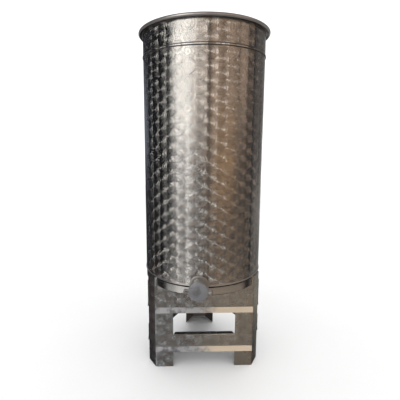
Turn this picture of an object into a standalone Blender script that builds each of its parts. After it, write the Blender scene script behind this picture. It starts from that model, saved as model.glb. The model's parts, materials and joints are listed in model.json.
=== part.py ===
"""Round stainless-steel storage tank, about 200 litres, on a three-legged stand of folded sheet.

Metres, +Z up, floor at z = 0, origin under the middle of the tank's bounding box.
The gate valve points along -Y. Everything hangs on two empties: the tank's axis, and the gate's own axis,
in which +X is still right, +Y is up and +Z points out of the valve.
"""

import math

import bmesh
import bpy
from mathutils import Matrix, Vector

# Tank
TANK_RADIUS = 0.260
SHEET = 0.0008
TANK_SIDES = 72
SEAM_HEIGHT = 0.416
SEAM_BEAD_RADIUS = 0.2625
SEAM_BEAD_HEIGHT = 0.0045
SEAM_BEAD_SLOPE = 0.002
RIB_HEIGHT = 1.334
RIB_HALF_WIDTH = 0.0065
RIB_DEPTH = 0.004
RIB_STEPS = 6
RIM_HEIGHT = 1.4356
RIM_OUTER_RADIUS = 0.2780
RIM_TALL = 0.0144
RIM_CURL_END = math.radians(-140)
RIM_STEPS = 10
SKIRT_SHEET = 0.0010
SKIRT_LAP = 0.020
BASE_HEIGHT = 0.3785
BASE_SHEET = 0.0012

# Stand: three folded legs on an equiangular hexagon, its long sides closed by an apron and a lower rail.
# The two rear rails sit a little higher than the front one.
STAND_TURN = math.radians(6.3)
LONG_SIDE = 0.424
LEG_WEB = 0.070
LEG_FLANGE = 0.077
LEG_SHEET = 0.002
LEG_HEIGHT = 0.4155
RAIL_SHEET = 0.0015
RAIL_FLANGE = 0.022
RAIL_FLANGE_TAPER = 0.009
RAIL_TOP = 0.1531
RAIL_FOLD = 0.0965
APRON_FOLD = 0.2790
LIP_LENGTH = 0.0255
LIP_ANGLE = math.radians(6)
RAIL_LIFTS = {"front": 0.0, "rear_right": 0.058, "rear_left": 0.018}
APRON_FLANGE_HALF = 0.185

# Gate valve
GATE_HEIGHT = 0.425
GATE_SIDES = 32
SCREW_SIDES = 16
NECK_RADIUS = 0.0265
NECK_BORE = 0.025
NECK_INSIDE = 0.0125
COLLAR_RADIUS = 0.039
COLLAR_THICKNESS = 0.004
BODY_BACK = 0.304
BODY_SHOULDER = 0.317
BODY_FACE = 0.3255
BODY_BOSS_RADIUS = 0.032
BODY_RADIUS = 0.038
BOSS_OVERLAP = 0.002
EAR_REACH = 0.0475
EAR_RADIUS = 0.009
EAR_NECK_HALF = 0.0065
SEAL_INNER = 0.0280
SEAL_OUTER = 0.0318
SEAL_DEPTH = 0.0020
FLAP_THICKNESS = 0.0045
SCREW_RADIUS = 0.003
PIVOT_HEAD_RADIUS = 0.0085
PIVOT_HEAD_TALL = 0.005
PIVOT_HEAD_CHAMFER = 0.0015
NUT_RADIUS = 0.0058
NUT_TALL = 0.005
SCREW_TAIL = 0.001
STUD_TIP = 0.3480
STUD_HEAD_RADIUS = 0.0060
STUD_HEAD_TALL = 0.003
WING_HUB_RADIUS = 0.0060
WING_HUB_TALL = 0.008
WING_SPAN = 0.015
WING_TALL = 0.014
WING_THICKNESS = 0.003
NARROWED = 0.8
SLOT_HALF_WIDTH = 0.0046
ARC_STEPS = 8

# Clearances between pieces, and how far a cutter reaches past what it cuts
GAP = 0.0003
SCREW_GAP = 0.0004
OVERSHOOT = 0.01

# Where the tank's axis stands, so that the bounding box is centred on the origin
TANK_AXIS_Y = (STUD_TIP - RIM_OUTER_RADIUS) / 2

SHORT_SIDE_DISTANCE = (LEG_WEB + 2 * LONG_SIDE) / (2 * math.sqrt(3))
LONG_SIDE_DISTANCE = (LONG_SIDE + 2 * LEG_WEB) / (2 * math.sqrt(3))
THIRD_TURN = math.radians(120)


def clear_scene():
    for obj in list(bpy.data.objects):
        bpy.data.objects.remove(obj, do_unlink=True)


def steel(name, colour, roughness, metallic=1.0):
    """A plain Principled material; colour is linear RGB."""
    material = bpy.data.materials.new(name)
    material.use_nodes = True
    shader = material.node_tree.nodes["Principled BSDF"]
    shader.inputs["Base Color"].default_value = (*colour, 1.0)
    shader.inputs["Roughness"].default_value = roughness
    shader.inputs["Metallic"].default_value = metallic
    material.diffuse_color = (*colour, 1.0)
    return material


def empty(name, parent=None, place=Matrix.Identity(4)):
    marker = bpy.data.objects.new(name, None)
    bpy.context.scene.collection.objects.link(marker)
    marker.parent = parent
    marker.matrix_local = place
    return marker


def solid(name, bm, material, parent, smooth=True):
    """Turns a closed bmesh into a named object with outward faces."""
    bmesh.ops.recalc_face_normals(bm, faces=bm.faces)
    mesh = bpy.data.meshes.new(name)
    bm.to_mesh(mesh)
    bm.free()
    if smooth:
        mesh.shade_smooth()
        mesh.set_sharp_from_angle(angle=math.radians(30))
    mesh.materials.append(material)
    obj = bpy.data.objects.new(name, mesh)
    bpy.context.scene.collection.objects.link(obj)
    obj.parent = parent
    return obj


def turned(profile, sides, closed=True):
    """Spins a profile of (radius, height) points about Z; an open profile starts and ends on the axis."""
    bm = bmesh.new()
    verts = [bm.verts.new((radius, 0.0, height)) for radius, height in profile]
    pairs = list(zip(verts, verts[1:]))
    if closed:
        pairs.append((verts[-1], verts[0]))
    edges = [bm.edges.new(pair) for pair in pairs]
    bmesh.ops.spin(
        bm, geom=verts + edges, cent=(0, 0, 0), axis=(0, 0, 1), angle=2 * math.pi, steps=sides, use_merge=True
    )
    bmesh.ops.remove_doubles(bm, verts=bm.verts, dist=1e-6)
    return bm


def prism(outline, low, high):
    """A plan outline of (x, y) points, extruded from one height to another."""
    bm = bmesh.new()
    face = bm.faces.new([bm.verts.new((x, y, low)) for x, y in outline])
    extruded = bmesh.ops.extrude_face_region(bm, geom=[face])
    moved = [item for item in extruded["geom"] if isinstance(item, bmesh.types.BMVert)]
    bmesh.ops.translate(bm, verts=moved, vec=(0, 0, high - low))
    return bm


def arc(centre, radius, start, end, steps):
    """Points on a circle, both ends included."""
    angles = [start + (end - start) * i / steps for i in range(steps + 1)]
    return [(centre[0] + radius * math.cos(a), centre[1] + radius * math.sin(a)) for a in angles]


def cut(target, tool, operation="DIFFERENCE"):
    """Adds a Boolean with a hidden tool object."""
    tool.hide_render = True
    tool.display_type = "WIRE"
    modifier = target.modifiers.new(tool.name, "BOOLEAN")
    modifier.operation = operation
    modifier.object = tool


def wall_offset(height):
    """How far the shell bulges out at a height: the swaged rib, and the hem along the seam."""
    from_rib = abs(height - RIB_HEIGHT) / RIB_HALF_WIDTH
    if from_rib < 1:
        return RIB_DEPTH * math.cos(from_rib * math.pi / 2)
    if height <= SEAM_HEIGHT + SEAM_BEAD_HEIGHT:
        return SEAM_BEAD_RADIUS - TANK_RADIUS
    return 0.0


def shell_wall(material, axis, gate):
    """The round wall, its lower edge hemmed outwards; inside, it follows the rib but not the hem."""
    rib = [RIB_HEIGHT + RIB_HALF_WIDTH * (2 * i / RIB_STEPS - 1) for i in range(RIB_STEPS + 1)]
    hem_top = SEAM_HEIGHT + SEAM_BEAD_HEIGHT
    upper = [hem_top + SEAM_BEAD_SLOPE] + rib + [RIM_HEIGHT - RIM_TALL / 2 - GAP]
    outside = [(TANK_RADIUS + wall_offset(z), z) for z in [SEAM_HEIGHT, hem_top] + upper]
    inside = [(TANK_RADIUS - SHEET + wall_offset(z), z) for z in upper]
    inside.insert(0, (TANK_RADIUS - SHEET, SEAM_HEIGHT))
    wall = solid("shell_wall", turned(outside[::-1] + inside, TANK_SIDES), material, axis)
    cut(wall, neck_hole("neck_hole_in_wall", material, gate))
    return wall


def rolled_rim(material, axis):
    """The top edge, curled outwards into an open roll that stops just short of the wall."""
    across = (RIM_OUTER_RADIUS - TANK_RADIUS) / 2
    centre = (TANK_RADIUS + across - SHEET / 2, RIM_HEIGHT - RIM_TALL / 2)
    angles = [math.pi + (RIM_CURL_END - math.pi) * i / RIM_STEPS for i in range(RIM_STEPS + 1)]

    def roll(shrink):
        wide = across + SHEET / 2 - shrink
        tall = RIM_TALL / 2 - shrink
        return [(centre[0] + wide * math.cos(a), centre[1] + tall * math.sin(a)) for a in angles]

    return solid("rolled_rim", turned(roll(0.0) + roll(SHEET)[::-1], TANK_SIDES), material, axis)


def bottom_skirt(material, axis, gate):
    """The plain band below the seam, lapped inside the shell."""
    outer = TANK_RADIUS - SHEET - GAP
    inner = outer - SKIRT_SHEET
    top = SEAM_HEIGHT + SKIRT_LAP
    profile = [(outer, top), (outer, BASE_HEIGHT), (inner, BASE_HEIGHT), (inner, top)]
    skirt = solid("bottom_skirt", turned(profile, TANK_SIDES), material, axis)
    cut(skirt, neck_hole("neck_hole_in_skirt", material, gate))
    return skirt


def bottom_plate(material, axis):
    radius = TANK_RADIUS - SHEET - SKIRT_SHEET - 2 * GAP
    top = BASE_HEIGHT + BASE_SHEET
    profile = [(0, top), (radius, top), (radius, BASE_HEIGHT), (0, BASE_HEIGHT)]
    return solid("bottom_plate", turned(profile, TANK_SIDES, closed=False), material, axis)


def neck_hole(name, material, gate):
    """A cutter along the valve's axis, through the tank's wall."""
    radius = NECK_RADIUS + GAP
    near, far = TANK_RADIUS - 2 * OVERSHOOT, TANK_RADIUS + 2 * OVERSHOOT
    profile = [(0, far), (radius, far), (radius, near), (0, near)]
    return solid(name, turned(profile, GATE_SIDES, closed=False), material, gate)


def leg(name, material, axis, turn):
    """A folded channel: its web faces outwards, and its two flanges lie along the long sides."""
    half = LEG_WEB / 2
    reach = SHORT_SIDE_DISTANCE
    along = Vector((math.cos(math.radians(60)), -math.sin(math.radians(60))))
    normal = Vector((math.cos(math.radians(30)), math.sin(math.radians(30))))
    fold = Vector((half, reach))
    inner_fold = Vector((half - LEG_SHEET * math.tan(math.radians(30)), reach - LEG_SHEET))
    tip = fold + along * LEG_FLANGE
    right = [fold, tip, tip - normal * LEG_SHEET, inner_fold]
    left = [Vector((-point.x, point.y)) for point in reversed(right)]
    bm = prism([tuple(point) for point in right + left], 0.0, LEG_HEIGHT)
    bmesh.ops.rotate(bm, verts=bm.verts, cent=(0, 0, 0), matrix=Matrix.Rotation(turn, 3, "Z"))
    channel = solid(name, bm, material, axis, smooth=False)
    radius = TANK_RADIUS - SHEET + 2 * GAP
    low = BASE_HEIGHT - RAIL_SHEET - 2 * GAP
    high = LEG_HEIGHT + OVERSHOOT
    profile = [(0, high), (radius, high), (radius, low), (0, low)]
    cut(channel, solid(name + "_tank_room", turned(profile, TANK_SIDES, closed=False), material, axis))
    return channel


def rail(name, material, axis, turn, top, fold, flange_half):
    """A strip lapped on the outside of two leg flanges: top flange inwards, lower edge flared outwards."""
    inside = LONG_SIDE_DISTANCE + GAP
    outside = inside + RAIL_SHEET
    lip = Vector((math.sin(LIP_ANGLE), -math.cos(LIP_ANGLE)))
    lip_normal = Vector((-math.cos(LIP_ANGLE), -math.sin(LIP_ANGLE)))
    outer_end = Vector((outside, fold)) + lip * LIP_LENGTH
    inner_end = outer_end + lip_normal * RAIL_SHEET
    section = [
        (outside, top),
        (outside, fold),
        tuple(outer_end),
        tuple(inner_end),
        (inside, fold - RAIL_SHEET * math.tan(LIP_ANGLE / 2)),
        (inside, top - RAIL_SHEET),
        (inside, top),
    ]
    half = LONG_SIDE / 2 - GAP
    bm = prism(section, -half, half)
    lengthways = Matrix(((0, 0, 1), (1, 0, 0), (0, 1, 0)))
    bmesh.ops.rotate(bm, verts=bm.verts, cent=(0, 0, 0), matrix=lengthways)
    for x in (-flange_half, flange_half):
        everything = bm.verts[:] + bm.edges[:] + bm.faces[:]
        bmesh.ops.bisect_plane(bm, geom=everything, plane_co=(x, 0, 0), plane_no=(1, 0, 0))
    add_flange(bm, inside, top, flange_half)
    bmesh.ops.rotate(bm, verts=bm.verts, cent=(0, 0, 0), matrix=Matrix.Rotation(turn, 3, "Z"))
    return solid(name, bm, material, axis, smooth=False)


def add_flange(bm, inside, top, half):
    """Pulls the strip's inner top edge inwards as a flange with mitred ends."""
    centre = Vector((0, inside, top - RAIL_SHEET / 2))
    root = min(bm.faces, key=lambda face: (face.calc_center_median() - centre).length)
    extruded = bmesh.ops.extrude_face_region(bm, geom=[root])["geom"]
    bmesh.ops.delete(bm, geom=[root], context="FACES_ONLY")
    moved = [item for item in extruded if isinstance(item, bmesh.types.BMVert)]
    narrow = (half - RAIL_FLANGE_TAPER) / half
    bmesh.ops.translate(bm, verts=moved, vec=(0, -RAIL_FLANGE, 0))
    bmesh.ops.scale(bm, verts=moved, vec=(narrow, 1, 1))


def stand(material, axis):
    opening_half = LONG_SIDE / 2 - LEG_FLANGE - GAP
    for name, third in (("rear", 0), ("front_left", 1), ("front_right", -1)):
        leg("leg_" + name, material, axis, STAND_TURN + third * THIRD_TURN)
    for name, third in (("front", 0), ("rear_right", 1), ("rear_left", -1)):
        turn = STAND_TURN + math.pi + third * THIRD_TURN
        lift = RAIL_LIFTS[name]
        rail("apron_" + name, material, axis, turn, BASE_HEIGHT - GAP, APRON_FOLD, APRON_FLANGE_HALF)
        rail("lower_rail_" + name, material, axis, turn, RAIL_TOP + lift, RAIL_FOLD + lift, opening_half)


def outlet_neck(material, gate):
    near, far = TANK_RADIUS - NECK_INSIDE, BODY_SHOULDER
    profile = [(NECK_RADIUS, far), (NECK_RADIUS, near), (NECK_BORE, near), (NECK_BORE, far)]
    return solid("outlet_neck", turned(profile, GATE_SIDES), material, gate)


def neck_collar(material, gate):
    """The round backing plate that stands against the seam's bead."""
    near = SEAM_BEAD_RADIUS + GAP
    far = near + COLLAR_THICKNESS
    bore = NECK_RADIUS + GAP
    profile = [(COLLAR_RADIUS, far), (COLLAR_RADIUS, near), (bore, near), (bore, far)]
    return solid("neck_collar", turned(profile, GATE_SIDES), material, gate)


def eared_outline():
    """A round plate with a round ear on each side, joined by short straight necks."""
    start = math.asin(EAR_NECK_HALF / BODY_RADIUS)
    end = math.pi - math.asin(EAR_NECK_HALF / EAR_RADIUS)
    points = arc((EAR_REACH, 0), EAR_RADIUS, -end, end, ARC_STEPS)
    points += arc((0, 0), BODY_RADIUS, start, math.pi - start, 2 * ARC_STEPS)
    points += arc((-EAR_REACH, 0), EAR_RADIUS, math.pi - end, math.pi + end, ARC_STEPS)
    points += arc((0, 0), BODY_RADIUS, math.pi + start, 2 * math.pi - start, 2 * ARC_STEPS)
    return points


def screw_hole(name, material, gate, x):
    """A cutter for a screw's hole through an ear."""
    radius = SCREW_RADIUS + SCREW_GAP
    low, high = BODY_BACK, STUD_TIP
    profile = [(0, high), (radius, high), (radius, low), (0, low)]
    hole = solid(name, turned(profile, SCREW_SIDES, closed=False), material, gate)
    hole.location = (x, 0, 0)
    return hole


def gate_body(material, gate):
    """The valve's seat: an eared flange with a boss behind it that sockets over the neck."""
    flange = solid("gate_body", prism(eared_outline(), BODY_SHOULDER + GAP, BODY_FACE), material, gate)
    boss_profile = [
        (BODY_BOSS_RADIUS, BODY_SHOULDER + BOSS_OVERLAP),
        (BODY_BOSS_RADIUS, BODY_BACK),
        (NECK_RADIUS + GAP, BODY_BACK),
        (NECK_RADIUS + GAP, BODY_SHOULDER + BOSS_OVERLAP),
    ]
    boss = solid("gate_body_boss", turned(boss_profile, GATE_SIDES), material, gate)
    cut(flange, boss, "UNION")
    bore_profile = [
        (0, BODY_FACE + OVERSHOOT),
        (SEAL_OUTER + GAP, BODY_FACE + OVERSHOOT),
        (SEAL_OUTER + GAP, BODY_FACE - SEAL_DEPTH - GAP),
        (NECK_BORE, BODY_FACE - SEAL_DEPTH - GAP),
        (NECK_BORE, BODY_SHOULDER + GAP),
        (NECK_RADIUS + GAP, BODY_SHOULDER + GAP),
        (NECK_RADIUS + GAP, BODY_BACK - OVERSHOOT),
        (0, BODY_BACK - OVERSHOOT),
    ]
    cut(flange, solid("gate_body_bore", turned(bore_profile, GATE_SIDES, closed=False), material, gate))
    cut(flange, screw_hole("gate_body_pivot_hole", material, gate, EAR_REACH))
    cut(flange, screw_hole("gate_body_stud_hole", material, gate, -EAR_REACH))
    return flange


def gate_seal(material, gate):
    near, far = BODY_FACE - SEAL_DEPTH, BODY_FACE
    profile = [(SEAL_OUTER, far), (SEAL_OUTER, near), (SEAL_INNER, near), (SEAL_INNER, far)]
    return solid("gate_seal", turned(profile, GATE_SIDES), material, gate)


def gate_flap(material, gate):
    """The sliding cover, turned on the right-hand screw; its left ear hooks over the stud from above."""
    pivot = empty("gate_pivot", gate, Matrix.Translation((EAR_REACH, 0, BODY_FACE + GAP)))
    bm = prism(eared_outline(), 0.0, FLAP_THICKNESS)
    bmesh.ops.translate(bm, verts=bm.verts, vec=(-EAR_REACH, 0, 0))
    flap = solid("gate_flap", bm, material, pivot)
    cut(flap, screw_hole("gate_flap_pivot_hole", material, gate, EAR_REACH))
    slot = arc((0, 0), SLOT_HALF_WIDTH, 0, math.pi, ARC_STEPS)
    slot += [(-SLOT_HALF_WIDTH, -BODY_RADIUS), (SLOT_HALF_WIDTH, -BODY_RADIUS)]
    slot_tool = solid("gate_flap_slot", prism(slot, BODY_BACK, STUD_TIP), material, gate)
    slot_tool.location = (-EAR_REACH, 0, 0)
    cut(flap, slot_tool)
    return flap


def pivot_screw(material, gate):
    """A round-headed screw through the flap and the body's right ear."""
    head_low = BODY_FACE + FLAP_THICKNESS + 2 * GAP
    head_high = head_low + PIVOT_HEAD_TALL
    tail = BODY_SHOULDER - NUT_TALL - SCREW_TAIL
    profile = [
        (0, head_high),
        (PIVOT_HEAD_RADIUS * NARROWED, head_high),
        (PIVOT_HEAD_RADIUS, head_high - PIVOT_HEAD_CHAMFER),
        (PIVOT_HEAD_RADIUS, head_low),
        (SCREW_RADIUS, head_low),
        (SCREW_RADIUS, tail),
        (0, tail),
    ]
    screw = solid("pivot_screw", turned(profile, SCREW_SIDES, closed=False), material, gate)
    screw.location = (EAR_REACH, 0, 0)
    return screw


def pivot_nut(material, gate):
    """A hexagon nut behind the right ear."""
    top = BODY_SHOULDER
    hexagon = arc((0, 0), NUT_RADIUS, 0, math.radians(300), 5)
    nut = solid("pivot_nut", prism(hexagon, top - NUT_TALL, top), material, gate, smooth=False)
    nut.location = (EAR_REACH, 0, 0)
    cut(nut, screw_hole("pivot_nut_hole", material, gate, EAR_REACH))
    return nut


def clamp_stud(material, gate):
    """The headed stud in the left ear that the flap hooks over."""
    head_high = BODY_SHOULDER
    head_low = head_high - STUD_HEAD_TALL
    profile = [
        (0, STUD_TIP),
        (SCREW_RADIUS * NARROWED, STUD_TIP),
        (SCREW_RADIUS, STUD_TIP - SCREW_TAIL),
        (SCREW_RADIUS, head_high),
        (STUD_HEAD_RADIUS, head_high),
        (STUD_HEAD_RADIUS, head_low),
        (0, head_low),
    ]
    stud = solid("clamp_stud", turned(profile, SCREW_SIDES, closed=False), material, gate)
    stud.location = (-EAR_REACH, 0, 0)
    return stud


def wing_nut(material, gate):
    """The wing nut that presses the flap shut."""
    low = BODY_FACE + FLAP_THICKNESS + 2 * GAP
    profile = [
        (WING_HUB_RADIUS * NARROWED, low + WING_HUB_TALL),
        (WING_HUB_RADIUS, low),
        (SCREW_RADIUS + SCREW_GAP, low),
        (SCREW_RADIUS + SCREW_GAP, low + WING_HUB_TALL),
    ]
    nut = solid("wing_nut", turned(profile, SCREW_SIDES), material, gate)
    nut.location = (-EAR_REACH, 0, 0)
    root = SCREW_RADIUS + 2 * SCREW_GAP
    wing = [
        (root, WING_THICKNESS / 2),
        (WING_SPAN * 0.67, WING_THICKNESS),
        (WING_SPAN, WING_TALL * 0.8),
        (WING_SPAN * 0.87, WING_TALL),
        (WING_SPAN * 0.67, WING_TALL * 0.93),
        (root, WING_HUB_TALL * 0.87),
    ]
    for side in (0, 1):
        bm = prism(wing, -WING_THICKNESS / 2, WING_THICKNESS / 2)
        upright = Matrix.Rotation(side * math.pi, 3, "Z") @ Matrix.Rotation(math.radians(90), 3, "X")
        bmesh.ops.rotate(bm, verts=bm.verts, cent=(0, 0, 0), matrix=upright)
        blade = solid("wing_nut_blade_" + "ab"[side], bm, material, gate, smooth=False)
        blade.location = (-EAR_REACH, 0, low)
        cut(nut, blade, "UNION")
    return nut


def main():
    clear_scene()
    shell_steel = steel("jewelled_steel", (0.50, 0.47, 0.43), 0.28)
    plain_steel = steel("plain_steel", (0.56, 0.54, 0.51), 0.18)
    stand_steel = steel("stand_steel", (0.40, 0.38, 0.34), 0.32)
    gate_steel = steel("gate_steel", (0.52, 0.53, 0.57), 0.25)
    screw_steel = steel("screw_steel", (0.60, 0.58, 0.54), 0.30)
    rubber = steel("seal_rubber", (0.75, 0.73, 0.68), 0.60, metallic=0.0)

    axis = empty("tank_axis", place=Matrix.Translation((0, TANK_AXIS_Y, 0)))
    valve_place = Matrix.Translation((0, 0, GATE_HEIGHT)) @ Matrix.Rotation(math.radians(90), 4, "X")
    gate = empty("gate_axis", axis, valve_place)

    shell_wall(shell_steel, axis, gate)
    rolled_rim(plain_steel, axis)
    bottom_skirt(plain_steel, axis, gate)
    bottom_plate(plain_steel, axis)
    stand(stand_steel, axis)
    outlet_neck(plain_steel, gate)
    neck_collar(plain_steel, gate)
    gate_body(gate_steel, gate)
    gate_seal(rubber, gate)
    gate_flap(gate_steel, gate)
    pivot_screw(screw_steel, gate)
    pivot_nut(screw_steel, gate)
    clamp_stud(screw_steel, gate)
    wing_nut(screw_steel, gate)


main()
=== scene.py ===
"""Round jewelled-steel storage tank on a folded-sheet stand: the looks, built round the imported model.

Metres, +Z up, the gate valve towards -Y. Shaped pieces stand where the CAD nodes stand and replace them.
"""

import json
import math
from contextlib import contextmanager
from itertools import product

import bmesh
import bpy
from mathutils import Matrix, Vector


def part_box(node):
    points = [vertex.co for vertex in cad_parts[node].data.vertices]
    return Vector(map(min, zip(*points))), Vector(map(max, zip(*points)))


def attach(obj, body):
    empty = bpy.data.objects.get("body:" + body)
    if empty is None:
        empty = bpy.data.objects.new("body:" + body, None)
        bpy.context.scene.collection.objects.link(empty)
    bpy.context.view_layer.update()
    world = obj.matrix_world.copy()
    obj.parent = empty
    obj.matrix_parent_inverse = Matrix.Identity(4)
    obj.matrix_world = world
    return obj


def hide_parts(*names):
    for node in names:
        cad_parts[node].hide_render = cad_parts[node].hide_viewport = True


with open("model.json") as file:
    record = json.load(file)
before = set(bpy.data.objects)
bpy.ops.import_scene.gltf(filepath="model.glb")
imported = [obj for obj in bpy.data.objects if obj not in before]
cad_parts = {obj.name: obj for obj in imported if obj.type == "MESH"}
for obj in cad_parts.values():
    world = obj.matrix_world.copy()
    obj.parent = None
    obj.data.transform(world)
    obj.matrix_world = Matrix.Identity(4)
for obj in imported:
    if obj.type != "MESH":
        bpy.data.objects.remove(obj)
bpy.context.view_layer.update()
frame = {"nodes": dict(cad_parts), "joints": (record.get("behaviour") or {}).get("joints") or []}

bl_info = {
    "name": "Jewelled Steel Tank",
    "version": (1, 0, 0),
    "blender": (4, 5, 0),
    "location": "View3D > Sidebar > Tank",
    "description": "Builds an open storage tank of jewelled steel, its folded stand and its gate valve",
    "category": "Add Mesh",
}

SHELL_LOW, SHELL_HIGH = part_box("shell_wall")
RIM_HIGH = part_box("rolled_rim")[1]
SKIRT_LOW, SKIRT_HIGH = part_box("bottom_skirt")
LEG_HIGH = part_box("leg_rear")[1]
GATE_JOINT = frame["joints"][0]

AXIS = Vector(((SHELL_LOW.x + SHELL_HIGH.x) / 2, (SHELL_LOW.y + SHELL_HIGH.y) / 2, 0))
EAR, _, GATE_HEIGHT = GATE_JOINT["pos_m"]
# Valve pieces are modelled upright; this lays them down, so that their Z points from the tank's axis to -Y
GATE = Matrix.Translation((AXIS.x, AXIS.y, GATE_HEIGHT)) @ Matrix.Rotation(math.radians(90), 4, "X")
THIRD = math.radians(120)
FULL = math.radians(360)

# Clearances: where a strip laps on a leg, and round a screw
LAP = 0.0003
SCREW_ROOM = 0.0004


# Sizes and colours that a user would change


def size(name, description, default):
    return bpy.props.FloatProperty(
        name=name, description=description, default=default, precision=5, unit="LENGTH", subtype="DISTANCE"
    )


def amount(name, description, default, high=1.0):
    return bpy.props.FloatProperty(name=name, description=description, default=default, min=0.0, max=high)


def turn(name, description, degrees):
    return bpy.props.FloatProperty(
        name=name, description=description, default=math.radians(degrees), subtype="ANGLE", unit="ROTATION"
    )


def colour(name, description, default):
    return bpy.props.FloatVectorProperty(
        name=name, description=description, default=default, size=3, min=0.0, max=1.0, subtype="COLOR"
    )


class TankSizes(bpy.types.PropertyGroup):
    radius: size("Shell radius", "Outside radius of the round wall", 0.260)
    sheet: size("Shell sheet", "Thickness of the shell's sheet", 0.0008)
    skirt_sheet: size("Skirt sheet", "Thickness of the plain band's sheet", 0.0010)
    sides: bpy.props.IntProperty(name="Sides", description="Faces round the tank", default=180, min=24)
    hem_radius: size("Hem radius", "Outside radius of the hem along the shell's lower edge", 0.2625)
    hem_height: size("Hem height", "Height of the hem", 0.0058)
    rib_height: size("Rib height", "Height of the swaged rib above the floor", 1.334)
    rib_half: size("Rib half-width", "Half the width of the rib", 0.0064)
    rib_depth: size("Rib depth", "How far the rib stands out", 0.0026)
    weld_width: size("Weld width", "Width of the weld up the back of the shell", 0.0036)
    gap: size("Gap", "Clearance between neighbouring pieces", 0.0003)


class StandSizes(bpy.types.PropertyGroup):
    turned: turn("Turn", "How far the stand sits turned under the tank", 6.3)
    long_side: size("Long side", "Length of the sides that carry an apron", 0.424)
    leg_web: size("Leg web", "Width of a leg's outer face", 0.070)
    leg_flange: size("Leg flange", "Width of a leg's two side faces", 0.077)
    leg_sheet: size("Leg sheet", "Thickness of the legs' sheet", 0.002)
    leg_fold: size("Leg fold", "Outer radius of the legs' folds", 0.0045)
    rail_sheet: size("Rail sheet", "Thickness of the aprons' and rails' sheet", 0.0015)
    rail_flange: size("Rail flange", "Depth of the top flange", 0.022)
    flange_taper: size("Flange taper", "How much shorter the flange's inner edge is at each end", 0.009)
    rail_fold: size("Rail fold", "Outer radius of the folds of aprons and rails", 0.0028)
    lip_length: size("Lip length", "Height of the bright lower edge", 0.0255)
    lip_angle: turn("Lip angle", "How far the lower edge flares outwards", 6.0)
    apron_half: size("Apron flange", "Half the length of an apron's top flange", 0.185)
    apron_fold_height: size("Apron fold height", "Height where the apron's lip begins", 0.2790)
    rail_fold_height: size("Rail fold height", "Height where the front rail's lip begins", 0.0965)
    rail_top: size("Rail top", "Top of the front rail", 0.1531)
    left_lift: size("Rear left lift", "How much higher the rear left rail sits", 0.018)
    right_lift: size("Rear right lift", "How much higher the rear right rail sits", 0.058)


class ValveSizes(bpy.types.PropertyGroup):
    neck_radius: size("Neck radius", "Outside radius of the outlet's tube", 0.0265)
    neck_bore: size("Neck bore", "Inside radius of the outlet's tube", 0.025)
    collar_radius: size("Collar radius", "Radius of the plate against the shell", 0.039)
    collar_thickness: size("Collar thickness", "Thickness of the plate against the shell", 0.004)
    body_radius: size("Body radius", "Radius of the seat and of the flap", 0.038)
    ear_radius: size("Ear radius", "Radius of the two ears", 0.009)
    ear_neck: size("Ear neck", "Half the width of the neck that joins an ear", 0.0065)
    boss_radius: size("Boss radius", "Radius of the socket behind the seat", 0.032)
    back: size("Back", "Distance from the tank's axis to the socket's back", 0.304)
    shoulder: size("Shoulder", "Distance from the axis to the back of the ears", 0.317)
    face: size("Face", "Distance from the axis to the seat's face", 0.3255)
    flap: size("Flap", "Thickness of the flap", 0.0045)
    screw_radius: size("Screw radius", "Radius of the screws' threads", 0.003)
    stud_tip: size("Stud tip", "Distance from the axis to the stud's tip", 0.348)
    sides: bpy.props.IntProperty(name="Sides", description="Faces round the valve", default=72, min=16)


class FinishSettings(bpy.types.PropertyGroup):
    steel: colour("Jewelled steel", "Colour of the shell's sheet", (0.60, 0.59, 0.58))
    # Painted reflection: the stand's sheet gets a cool colour towards -X and a warm one towards +X
    stand: colour("Stand steel", "Colour of the stand's sheet on its cool side", (0.44, 0.46, 0.48))
    warm: colour("Warm stand steel", "Colour of the stand's sheet on its warm side", (0.68, 0.67, 0.63))
    plain: colour("Plain steel", "Colour of the plain sheet", (0.60, 0.59, 0.575))
    rolled: colour("Rolled edges", "Colour of the rim and the hem", (0.56, 0.53, 0.51))
    outlet: colour("Outlet", "Colour of the outlet's tube and its plate", (0.46, 0.45, 0.44))
    # Painted shade: this dark colour is laid on the stand's inner faces, the strips' backs and undersides,
    # under the rim and on the rib's flanks
    inside: colour("Painted shade steel", "Colour of the stand's inner faces", (0.22, 0.215, 0.21))
    # Painted reflection: the turned edges' colours, cream on the warm side and grey on the cool side
    bright: colour("Bright edge", "Colour of the turned edges on their warm side", (0.86, 0.72, 0.56))
    dull: colour("Dull edge", "Colour of the turned edges on their cool side", (0.49, 0.49, 0.50))
    casting: colour("Casting", "Colour of the gate valve", (0.36, 0.365, 0.39))
    screws: colour("Screws", "Colour of the turned screws", (0.66, 0.64, 0.60))
    seal: colour("Seal", "Colour of the gate's seal", (0.72, 0.70, 0.64))
    column_pitch: size("Column pitch", "Distance between columns of polished circles", 0.0403)
    row_pitch: size("Row pitch", "Distance between circles in a column", 0.0498)
    disc_radius: size("Circle radius", "Radius of a polished circle", 0.0315)
    column_start: size("First column", "How far round from the valve a column of circles stands", -0.0065)
    row_start: size("First row", "Height of the first row of circles above the floor", 0.0378)
    scratch_spread: amount("Scratch spread", "How far the circular scratches scatter light", 0.90, 2.0)
    ring_pitch: size("Scratch pitch", "Width of one circular scratch", 0.00009)


class StudioSettings(bpy.types.PropertyGroup):
    lens: bpy.props.FloatProperty(
        name="Lens", description="Focal length in millimetres", default=30.07, min=1.0
    )
    distance: size("Distance", "Level distance from the tank's axis to the camera", 1.5154)
    camera_height: size("Camera height", "Height of the camera above the floor", 0.9943)
    camera_side: turn("Camera side", "How far the camera stands round to the right", 2.56)
    heading: turn("Heading", "How far the camera looks to the left of +Y", 4.63)
    pitch: turn("Pitch", "How far the camera looks down", 8.695)
    roll: turn("Roll", "How far the camera leans", 0.147)
    daylight: amount("Daylight", "Brightness of the white surroundings", 1.2, 4.0)
    floor: colour("Floor", "Colour of the floor", (0.92, 0.92, 0.92))


# Modelling helpers


def only(obj):
    """Leaves obj alone selected and active."""
    bpy.ops.object.select_all(action="DESELECT")
    obj.select_set(True)
    bpy.context.view_layer.objects.active = obj


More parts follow.
